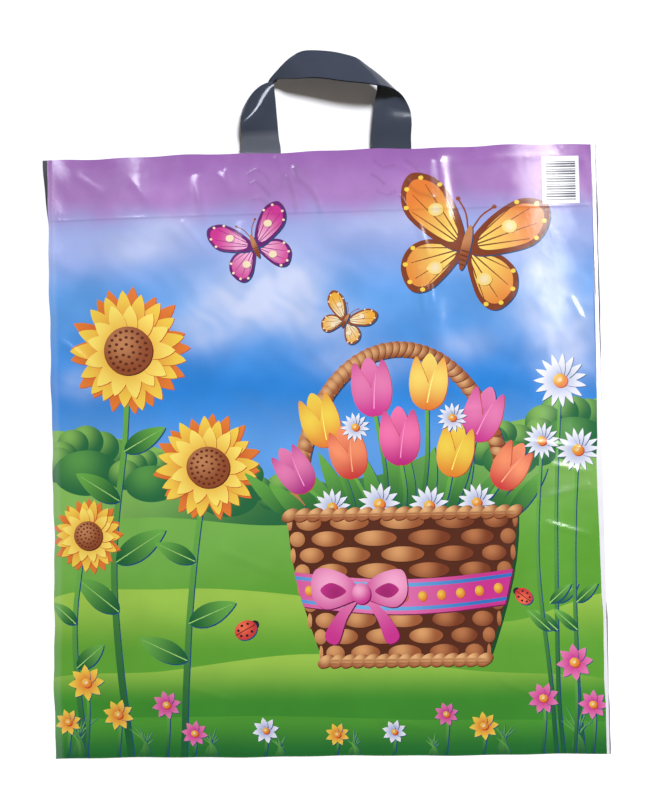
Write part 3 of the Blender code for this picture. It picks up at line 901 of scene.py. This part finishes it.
def wall_points():
    """Loose points over the wall: a staggered grid, and closer ones where it is finely creased."""
    found = []
    for i, v in enumerate(np.arange(GRID_STEP, TOP - GRID_STEP / 2, GRID_STEP * 0.92)):
        start = -HALF + GRID_STEP * (0.6 if i % 2 else 1.1)
        found += [(u, v) for u in np.arange(start, HALF - GRID_STEP / 2, GRID_STEP)]
    for left, low, right, high in FINE_AREAS:
        for i, v in enumerate(np.arange(low, min(high, TOP - FINE_STEP), FINE_STEP)):
            found += [(u + FINE_STEP / 2 * (i % 2), v) for u in np.arange(left, right, FINE_STEP)]
    for v in (HEM - 1.6, HEM - 0.8, HEM, HEM + 0.8, HEM + 1.6):
        found += [(u, v) for u in np.arange(-HALF + 2, HALF - 2, 2.0)]
    return found


def inside_outline(points, outline):
    """Whether each point lies inside a closed outline, by how often the outline winds round it."""
    ends = np.roll(outline, -1, axis=0)
    found = np.zeros(len(points), bool)
    batch = max(1, 2_000_000 // len(outline))
    for first in range(0, len(points), batch):
        u, v = points[first : first + batch, :1], points[first : first + batch, 1:]
        turn = (ends[:, 0] - outline[:, 0]) * (v - outline[:, 1])
        turn -= (u - outline[:, 0]) * (ends[:, 1] - outline[:, 1])
        up = (outline[:, 1] <= v) & (ends[:, 1] > v) & (turn > 0)
        down = (outline[:, 1] > v) & (ends[:, 1] <= v) & (turn < 0)
        found[first : first + batch] = up.sum(axis=1) != down.sum(axis=1)
    return found


def within_box(points, outline):
    low, high = outline.min(axis=0), outline.max(axis=0)
    return np.nonzero(((points >= low) & (points <= high)).all(axis=1))[0]


def seen_pieces(outlines):
    """The outlines' points and the pieces between them that no later motif covers."""
    points = np.concatenate(outlines)
    owners = np.repeat(np.arange(len(outlines)), [len(outline) for outline in outlines])
    firsts = np.cumsum([0] + [len(outline) for outline in outlines])
    nexts = np.arange(len(points)) + 1
    nexts[firsts[1:] - 1] = firsts[:-1]
    hidden = np.zeros(len(points), bool)
    middles = (points + points[nexts]) / 2
    for motif, outline in enumerate(outlines):
        near = within_box(middles, outline)
        near = near[(owners[near] < motif) & ~hidden[near]]
        if len(near):
            covered = inside_outline(points[near], outline) & inside_outline(middles[near], outline)
            covered &= inside_outline(points[nexts[near]], outline)
            hidden[near[covered]] = True
    u, v = points.T
    beyond = np.zeros(len(points), bool)
    for outside in (u > HALF + 3, u < -HALF - 3, v < -3, v > TOP + 3):
        beyond |= outside & outside[nexts]
    kept = np.nonzero(~hidden & ~beyond)[0]
    return points, [(int(i), int(nexts[i])) for i in kept]


def cut_front(art):
    """The front wall's points and triangles, in millimetres, and the motif on top of each triangle."""
    us = places_between(-HALF, HALF, GRID_STEP, (-CAVITY, CAVITY))
    vs = places_between(0, TOP, GRID_STEP)
    border = [(u, 0.0) for u in us] + [(HALF, v) for v in vs[1:]]
    border += [(u, TOP) for u in us[::-1][1:]] + [(-HALF, v) for v in vs[::-1][1:-1]]
    edges = [(i, (i + 1) % len(border)) for i in range(len(border))]
    outline_points, pieces = seen_pieces(art.outlines)
    numbers = np.unique(pieces)
    number_of = {int(n): len(border) + i for i, n in enumerate(numbers)}
    edges += [(number_of[a], number_of[b]) for a, b in pieces]
    points = np.concatenate([border, outline_points[numbers], wall_points()])
    vectors = [Vector((float(u), float(v))) for u, v in points]
    made, _, triangles, _, _, _ = delaunay_2d_cdt(vectors, edges, [], 0, 1e-4, False)
    made = np.array([(p.x, p.y) for p in made])
    for axis, value in ((0, HALF), (0, -HALF), (1, TOP), (1, 0.0)):
        made[np.abs(made[:, axis] - value) < 0.02, axis] = value
    triangles = np.array(triangles)
    middles = made[triangles].mean(axis=1)
    inside = (np.abs(middles[:, 0]) < HALF) & (middles[:, 1] > 0) & (middles[:, 1] < TOP)
    triangles, middles = triangles[inside], middles[inside]
    tops = np.full(len(triangles), -1)
    for motif, outline in enumerate(art.outlines):
        near = within_box(middles, outline)
        if len(near):
            tops[near[inside_outline(middles[near], outline)]] = motif
    used, numbers = np.unique(triangles, return_inverse=True)
    return made[used], numbers.reshape(-1, 3), tops


def paint(art, points, triangles, tops):
    """The colour at each corner of each triangle."""
    corners = points[triangles]
    colours = np.empty((*corners.shape[:2], 3))
    for motif in np.unique(tops):
        chosen = tops == motif
        u, v = corners[chosen, :, 0], corners[chosen, :, 1]
        colours[chosen] = sky(u, v) if motif < 0 else art.colours[motif](u, v)
    # Painted shade beside the ripples, and the dark line along the hem's weld
    colours *= painted_ripple_shade_and_weld_line(corners[..., 0], corners[..., 1])[..., None]
    left = smooth_step((-corners[..., 0] - HALF + 7) / 3)[..., None] * 0.08
    return colours * (1 - left) + linear(WHITE) * left


def film_place(u, v, peel=PEEL_FRONT):
    """Where a place of the flat film lies across and along, in metres, with the film's real edges."""
    side, up = edge_shift(u, v)
    at_corner = smooth_step((v - 430) / 62) * smooth_step((-u - 170) / 55)
    at_left = smooth_step((-u - 140) / 80) * smooth_step((v - 50) / 130)
    at_right = smooth_step((u - 140) / 80) * (0.4 + np.exp(-(((v - 215) / 70) ** 2)))
    drawn = WAIST_LEFT * at_left - WAIST_RIGHT * at_right
    return (u + side + peel * at_corner + drawn) * MM, FOLD_Y + (v + up) * MM


def placed_front(points):
    """The front wall's points in space and its true normals."""
    u, v = points[:, 0], points[:, 1]
    step = 0.25
    slope_u = (front_height(u + step, v) - front_height(u - step, v)) / (2 * step)
    slope_v = (front_height(u, v + step) - front_height(u, v - step)) / (2 * step)
    normals = np.stack([-slope_u, -slope_v, np.ones_like(u)], 1)
    normals /= np.linalg.norm(normals, axis=1, keepdims=True)
    x, y = film_place(u, v)
    return np.stack([x, y, front_height(u, v) * MM], 1), normals


# The film's other faces

def sorted_side(points, axis, value):
    """The numbers of the points on one side of the wall, in order along it."""
    numbers = np.nonzero(np.abs(points[:, axis] - value) < 1e-6)[0]
    return numbers[np.argsort(points[numbers, 1 - axis])]


def lining_profile(u):
    """The film's inner faces at one column: down the front hem and wall, and up the back ones."""
    film, double = FILM / MM, (2 * FILM + LAYER_GAP) / MM
    rows = np.linspace(TOP, HEM, HEM_LINING_ROWS)
    profile = [(v, z - double + film) for v, z in zip(rows, broad_height(np.full_like(rows, u), rows))]
    depths = np.concatenate([np.linspace(0, 0.3, 24), np.linspace(0.34, 1, 14)])
    wall = HEM - (HEM - LINING_MARGIN) * depths
    close = broad_height(np.full_like(wall, u), wall)
    low = film + (close - film) * LINING_SHARE
    profile += zip(wall, close - film + (low - close + film) * smooth_step((HEM - wall) / 40))
    profile += [(v, film) for v in np.linspace(LINING_MARGIN, HEM, 5)]
    profile += [(v, double) for v in (HEM, TOP)]
    return profile


def back_colour(u, v):
    """The plain ground of the back wall: meadow below, sky above."""
    share = float(smooth_step((v - 190) / 30))
    return linear(MEADOW) * (1 - share) + sky(np.array([u]), np.array([max(v, 250.0)]))[0] * share


def film_mesh(art):
    """The film's points, faces, colours at their corners, material numbers and the front's normals."""
    flat, triangles, tops = cut_front(art)
    front, front_normals = placed_front(flat)
    mouth = sorted_side(flat, 1, TOP)
    fold = sorted_side(flat, 1, 0.0)
    left = sorted_side(flat, 0, -HALF)
    right = sorted_side(flat, 0, HALF)
    points = [tuple(p) for p in front]
    faces = [tuple(t) for t in triangles]
    colours = list(paint(art, flat, triangles, tops).reshape(-1, 3))
    groups = [0] * len(faces)

    def shifted(u, v, z, peel=PEEL_FRONT):
        x, y = film_place(np.array([u]), np.array([v]), peel)
        return float(x[0]), float(y[0]), z * MM

    def add_face(face, colour, group):
        faces.append(tuple(face))
        groups.append(group)
        colours.extend([colour] * len(face))

    inner = linear(INNER_FILM)
    # Painted shade for the narrow side, fold and mouth-end faces
    dark = linear(PAINTED_EDGE_SHADE)

    # Back wall: the same border, pressed flat on what the bag lies on
    loop = [*fold, *right[1:], *mouth[::-1][1:], *left[::-1][1:-1]]
    loop_flat = [Vector(tuple(map(float, flat[i]))) for i in loop]
    spread = [Vector((u, v)) for u in range(-200, 201, 25) for v in range(20, int(TOP) - 10, 25)]
    made, _, back_triangles, origins, _, _ = delaunay_2d_cdt(
        loop_flat + spread, [], [list(range(len(loop_flat)))], 1, 1e-6, True
    )
    back_of = {}
    start = len(points)
    for i, place in enumerate(made):
        points.append(shifted(place.x, place.y, 0.0, PEEL_BACK))
        for origin in origins[i]:
            if origin < len(loop):
                back_of[loop[origin]] = start + i
    for triangle in back_triangles:
        middle = np.mean([(made[i].x, made[i].y) for i in triangle], axis=0)
        add_face([start + i for i in triangle][::-1], back_colour(*middle), 1)

    # Welded sides and the fold: narrow strips between the two walls, coloured with painted shade
    for line in (fold, right, left[::-1]):
        for a, b in zip(line[:-1], line[1:]):
            add_face([a, back_of[a], back_of[b], b], dark, 1)

    # Lining: the inner faces, one column for each point of the mouth between the side welds
    columns = [i for i in mouth if abs(flat[i][0]) <= CAVITY + 1e-3]
    rings = []
    for i in columns:
        first = len(points)
        profile = lining_profile(flat[i][0])
        points += [shifted(flat[i][0], v, z) for v, z in profile]
        rings.append(range(first, first + len(profile)))
    for near, far in zip(rings[:-1], rings[1:]):
        for k in range(len(near) - 1):
            add_face([near[k], far[k], far[k + 1], near[k + 1]], inner, 1)
    add_face(list(rings[0]), inner, 1)
    add_face(list(rings[-1])[::-1], inner, 1)

    # Mouth: the two lips, and the closed ends in the side welds, which are coloured with painted shade
    for k, (a, b) in enumerate(zip(columns[:-1], columns[1:])):
        add_face([a, b, rings[k + 1][0], rings[k][0]], inner, 1)
        add_face([rings[k][-1], rings[k + 1][-1], back_of[b], back_of[a]], inner, 1)
    for side in (-1, 1):
        line = [i for i in mouth if side * flat[i][0] >= CAVITY - 1e-3]
        for a, b in zip(line[:-1], line[1:]):
            near = [a, back_of[a]]
            far = [b, back_of[b]]
            if b == columns[0]:
                far = [b, rings[0][0], rings[0][-1], back_of[b]]
            if a == columns[-1]:
                near = [a, rings[-1][0], rings[-1][-1], back_of[a]]
            add_face([*far, *near[::-1]], dark, 1)
    return points, faces, np.array(colours), groups, front_normals


# Materials

class NodeTree:
    """The nodes of a material or a world, with one short way to add to them."""

    def __init__(self, owner):
        owner.use_nodes = True
        self.nodes = owner.node_tree.nodes
        self.links = owner.node_tree.links

    def fill(self, node, inputs):
        """Set a node's inputs to values, or join them to other nodes' outputs."""
        for name, value in inputs.items():
            if isinstance(value, bpy.types.NodeSocket):
                self.links.new(value, node.inputs[name])
            else:
                node.inputs[name].default_value = value

    def add(self, kind, output, inputs, **settings):
        """Add a node and give one of its outputs."""
        node = self.nodes.new("ShaderNode" + kind)
        for name, value in settings.items():
            setattr(node, name, value)
        self.fill(node, inputs)
        return node.outputs[output]

    def noise(self, place, scale, detail, stretch=(1, 1, 1)):
        stretched = self.add("Mapping", "Vector", {"Vector": place, "Scale": stretch})
        return self.add("TexNoise", "Fac", {"Vector": stretched, "Scale": scale, "Detail": detail})

    def ranged(self, value, start, end, low=0.0, high=1.0):
        """The value, turned from a range into another one."""
        ends = {"From Min": start, "From Max": end, "To Min": low, "To Max": high}
        return self.add("MapRange", "Result", {"Value": value, **ends})

    def uneven(self, place, scale, detail, low, high):
        return self.ranged(self.noise(place, scale, detail), 0.3, 0.7, low, high)

    def bump(self, height, strength, distance, **before):
        inputs = {"Height": height, "Strength": strength, "Distance": distance, **before}
        return self.add("Bump", "Normal", inputs)


def new_material(name):
    material = bpy.data.materials.new(name)
    tree = NodeTree(material)
    return material, tree, tree.nodes["Principled BSDF"], tree.add("TexCoord", "Object", {})


def printed_film():
    material, tree, shader, place = new_material("printed_film")
    print_colour = tree.add("VertexColor", "Color", {}, layer_name="print")
    mottle = tree.uneven(place, 30, 3, 0.96, 1.04)
    slack = tree.bump(tree.noise(place, 22, 2, (1, 0.6, 1)), 0.14, 0.002)
    tree.fill(shader, {
        "Base Color": tree.add("HueSaturation", "Color", {"Color": print_colour, "Value": mottle}),
        "Roughness": tree.uneven(place, 60, 2, 0.11, 0.19),
        "IOR": 1.5,
        "Normal": tree.bump(tree.noise(place, 260, 2), 0.06, 0.0006, Normal=slack),
    })
    return material


def plain_film():
    material, tree, shader, place = new_material("plain_film")
    tree.fill(shader, {
        "Base Color": tree.add("VertexColor", "Color", {}, layer_name="print"),
        "Roughness": tree.uneven(place, 50, 2, 0.22, 0.34),
        "Normal": tree.bump(tree.noise(place, 90, 2), 0.1, 0.001),
    })
    return material


def handle_film():
    """Dark film. The left leg is painted paler where it comes out of the mouth, as painted light."""
    material, tree, shader, place = new_material("handle_film")
    mottled = tree.add("MixRGB", "Color", {
        "Fac": tree.noise(place, 45, 3),
        "Color1": (*linear((0.20, 0.225, 0.28)), 1),
        "Color2": (*linear((0.25, 0.275, 0.33)), 1),
    })
    x, y = (tree.add("SeparateXYZ", axis, {"Vector": place}) for axis in "XY")
    # Painted light: a paler patch on the left leg just above the mouth
    on_left = tree.ranged(x, 0.0, -0.01)
    near_mouth = tree.ranged(y, MOUTH_Y + 0.018, MOUTH_Y + 0.012)
    painted_light_share = tree.add("Math", "Value", {0: on_left, 1: near_mouth}, operation="MULTIPLY")
    painted_light_colour = (*linear((0.36, 0.38, 0.42)), 1)
    slack = tree.bump(tree.noise(place, 45, 1), 0.12, 0.001)
    tree.fill(shader, {
        "Base Color": tree.add("MixRGB", "Color", {"Fac": painted_light_share, "Color1": mottled, "Color2": painted_light_colour}),
        "Roughness": tree.uneven(place, 80, 2, 0.07, 0.14),
        "IOR": 1.5,
        "Normal": tree.bump(tree.noise(place, 420, 2), 0.05, 0.0003, Normal=slack),
    })
    return material


# Pieces

def new_piece(name, points, faces, materials):
    mesh = bpy.data.meshes.new(name)
    mesh.from_pydata(points, [], faces)
    for material in materials:
        mesh.materials.append(material)
    mesh.shade_smooth()
    thing = bpy.data.objects.new(name, mesh)
    bpy.context.scene.collection.objects.link(thing)
    return thing


def make_bag_film():
    points, faces, colours, groups, front_normals = film_mesh(garden_print())
    bag = new_piece("bag_film", [tuple(map(float, p)) for p in points], [tuple(map(int, f)) for f in faces],
                    [printed_film(), plain_film()])
    mesh = bag.data
    mesh.polygons.foreach_set("material_index", np.array(groups, np.int32))
    attribute = mesh.color_attributes.new("print", "FLOAT_COLOR", "CORNER")
    rgba = np.concatenate([colours, np.ones((len(colours), 1))], axis=1).astype(np.float32)
    attribute.data.foreach_set("color", rgba.ravel())
    mesh.color_attributes.active_color = attribute
    mesh.set_sharp_from_angle(angle=math.radians(35))
    normals = np.empty(len(mesh.loops) * 3, np.float32)
    mesh.corner_normals.foreach_get("vector", normals)
    normals = normals.reshape(-1, 3)
    loops = np.empty(len(mesh.loops), np.int32)
    mesh.loops.foreach_get("vertex_index", loops)
    front_loops = 3 * sum(1 for group in groups if group == 0)
    normals[:front_loops] = front_normals[loops[:front_loops]]
    mesh.normals_split_custom_set(normals.tolist())
    return bag


def loop_lines():
    """The strip's outer edge, middle and inner edge as lists of points, from left end to right end."""
    legs = (LEG_SHIFT - LEG_SPACING / 2, LEG_SHIFT + LEG_SPACING / 2)
    half = HANDLE_WIDTH / 2
    straight = [MOUTH_Y + up for up in (-WELD_LENGTH, -WELD_LENGTH / 2, -STRAIGHT_OUT, STRAIGHT_OUT)]
    outer, middle, inner = [], [], []
    for side, x in zip((-1, 1), legs):
        for y in straight if side < 0 else reversed(straight):
            outer.append((x + side * half, y, FRONT_LEG_HEIGHT))
            middle.append((x, y, FRONT_LEG_HEIGHT))
            inner.append((x - side * half, y, FRONT_LEG_HEIGHT))
        if side > 0:
            continue
        for (across_by, up, rise), to_outer, to_inner in LOOP_STATIONS:
            point = np.array((
                LEG_SHIFT + across_by * LEG_SPACING / 2,
                MOUTH_Y + up * LOOP_REACH,
                FRONT_LEG_HEIGHT + rise * LOOP_RISE,
            ))
            outer.append(tuple(point + half * np.array(to_outer)))
            middle.append(tuple(point))
            inner.append(tuple(point + half * np.array(to_inner)))
    return np.array(outer), np.array(middle), np.array(inner)


def smooth_line(knots, places):
    last = len(knots) - 1
    found = []
    for place in places:
        i = min(int(place), last - 1)
        t = place - i
        before, start = knots[max(i - 1, 0)], knots[i]
        end, after = knots[i + 1], knots[min(i + 2, last)]
        leave, arrive = (end - before) / 2, (after - start) / 2
        found.append(
            (2 * t**3 - 3 * t**2 + 1) * start
            + (t**3 - 2 * t**2 + t) * leave
            + (3 * t**2 - 2 * t**3) * end
            + (t**3 - t**2) * arrive
        )
    return np.array(found)


def make_handle(name, is_rear, material):
    knots = loop_lines()
    last = len(knots[0]) - 1
    places = np.linspace(0, last, STRIP_STEPS + 1)
    outer, middle, inner = (smooth_line(line, places) for line in knots)
    shares = np.linspace(-1, 1, STRIP_COLUMNS)[:, None]
    grid = np.stack([
        a * shares * (shares - 1) / 2 + b * (1 - shares * shares) + c * shares * (shares + 1) / 2
        for a, b, c in zip(outer, middle, inner)
    ])
    along = np.gradient(grid, axis=0)
    sideways = np.gradient(grid, axis=1)
    normals = np.cross(sideways, along)
    normals /= np.linalg.norm(normals, axis=2, keepdims=True)
    if is_rear:
        in_mouth = FRONT_LEG_HEIGHT - REAR_LEG_HEIGHT
        in_loop = FILM + LOOP_LAYER_GAP
        from_end = np.minimum(places, last - places)
        behind = in_mouth + (in_loop - in_mouth) * smooth_step((from_end - 3) / 2.5)
        grid = grid - normals * behind[:, None, None]
    upper = grid + normals * STRIP / 2
    lower = grid - normals * STRIP / 2
    points, faces, rings = [], [], []
    for step in range(len(grid)):
        start = len(points)
        points += [tuple(map(float, p)) for p in (*upper[step], *lower[step][::-1])]
        rings.append(list(range(start, start + 2 * STRIP_COLUMNS)))
    for near, far in zip(rings[:-1], rings[1:]):
        for i in range(len(near)):
            j = (i + 1) % len(near)
            faces.append((near[i], near[j], far[j], far[i]))
    faces.append(tuple(reversed(rings[0])))
    faces.append(tuple(rings[-1]))
    strip = new_piece(name, points, faces, [material])
    strip.data.set_sharp_from_angle(angle=math.radians(50))
    length = float(np.linalg.norm(np.diff(grid[:, STRIP_COLUMNS // 2], axis=0), axis=1).sum())
    return strip, length


# Stage

# The table lies a little under the bag. For the camera it glows a little towards the bag's fold, and
# outside the photo's frame it turns into plain white.
FLOOR_HALF_SIZE = 3
FLOOR_DROP = 0.0004
FLOOR_GLOW_FAR = 0.24
TABLE_FADE_START = 0.6
TABLE_FADE_END = 1.3

WORLD_COLOUR = (1.0, 0.88, 0.74)
WORLD_STRENGTH = 0.17

# Each lamp's place, what it points at, its size, power and colour, and whether it only shows mirrored
LAMPS = {
    "window": ((0.90, 1.58, 3.00), (0, 0, 0), (0.85, 0.62), 140, (0.97, 0.99, 1.03), False),
    "leg_strip": ((-0.70, 0.93, 2.2), (-0.05, 0.26, 0), (0.70, 0.44), 17, (0.84, 0.92, 1.0), True),
    "right_strip": ((1.0, 0.42, 2.2), (0, 0.1, 0), (0.9, 0.16), 17, (1, 1, 1), True),
}

CAMERA_PLACE = (0.0735, -0.0068, 1.2390)
CAMERA_DEGREES = (0.640, 3.415, -1.258)
CAMERA_LENS = 70
CAMERA_SENSOR = 36


def make_floor():
    corners = [(x * FLOOR_HALF_SIZE, y * FLOOR_HALF_SIZE, 0) for x, y in ((-1, -1), (1, -1), (1, 1), (-1, 1))]
    material, tree, shader, place = new_material("floor")
    floor = new_piece("floor", corners, [(0, 1, 2, 3)], [material])
    floor.location.z = -FLOOR_DROP
    along = tree.add("SeparateXYZ", "Y", {"Vector": place})
    distance = tree.add("VectorMath", "Value", {0: place}, operation="LENGTH")
    near_fold = tree.ranged(along, MOUTH_Y - 0.02, FOLD_Y, 0.0, FLOOR_GLOW_FAR)
    outside = tree.ranged(distance, TABLE_FADE_START, TABLE_FADE_END)
    glow = tree.add("Math", "Value", {0: near_fold, 1: outside}, operation="MAXIMUM")
    is_seen = tree.add("LightPath", "Is Camera Ray", {})
    tree.fill(shader, {
        "Base Color": (0.93, 0.93, 0.94, 1),
        "Roughness": 0.9,
        "Specular IOR Level": 0.1,
        "Emission Color": (1, 1, 1, 1),
        "Emission Strength": tree.add("Math", "Value", {0: glow, 1: is_seen}, operation="MULTIPLY"),
    })


def make_lamp(name, place, aim, size, power, colour, only_mirrored):
    lamp = bpy.data.lights.new(name, "AREA")
    lamp.shape = "RECTANGLE"
    lamp.size, lamp.size_y = size
    lamp.energy = power
    lamp.color = colour
    thing = bpy.data.objects.new(name, lamp)
    thing.location = place
    thing.rotation_euler = (Vector(aim) - Vector(place)).to_track_quat("-Z", "Y").to_euler()
    thing.visible_diffuse = not only_mirrored
    bpy.context.scene.collection.objects.link(thing)


def make_world():
    """A dim warm world, which is white where the camera sees it."""
    world = bpy.data.worlds.new("world")
    tree = NodeTree(world)
    surface = tree.add("MixShader", "Shader", {
        0: tree.add("LightPath", "Is Camera Ray", {}),
        1: tree.add("Background", "Background", {"Color": (*WORLD_COLOUR, 1), "Strength": WORLD_STRENGTH}),
        2: tree.add("Background", "Background", {"Color": (1, 1, 1, 1)}),
    })
    tree.fill(tree.nodes["World Output"], {"Surface": surface})
    bpy.context.scene.world = world


def make_camera():
    camera = bpy.data.cameras.new("camera")
    camera.lens = CAMERA_LENS
    camera.sensor_width = CAMERA_SENSOR
    thing = bpy.data.objects.new("camera", camera)
    thing.location = CAMERA_PLACE
    thing.rotation_euler = [math.radians(angle) for angle in CAMERA_DEGREES]
    bpy.context.scene.collection.objects.link(thing)
    bpy.context.scene.camera = thing


bag_film = make_bag_film()
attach(bag_film, "root")
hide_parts("bag_body")

slate = handle_film()
for node, is_rear in (("front_handle", False), ("rear_handle", True)):
    strip, strip_length = make_handle(node + "_strip", is_rear, slate)
    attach(strip, "root")
    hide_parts(node)

make_floor()
make_world()
for lamp_name, settings in LAMPS.items():
    make_lamp(lamp_name, *settings)
make_camera()
bpy.context.scene.view_settings.view_transform = "Standard"
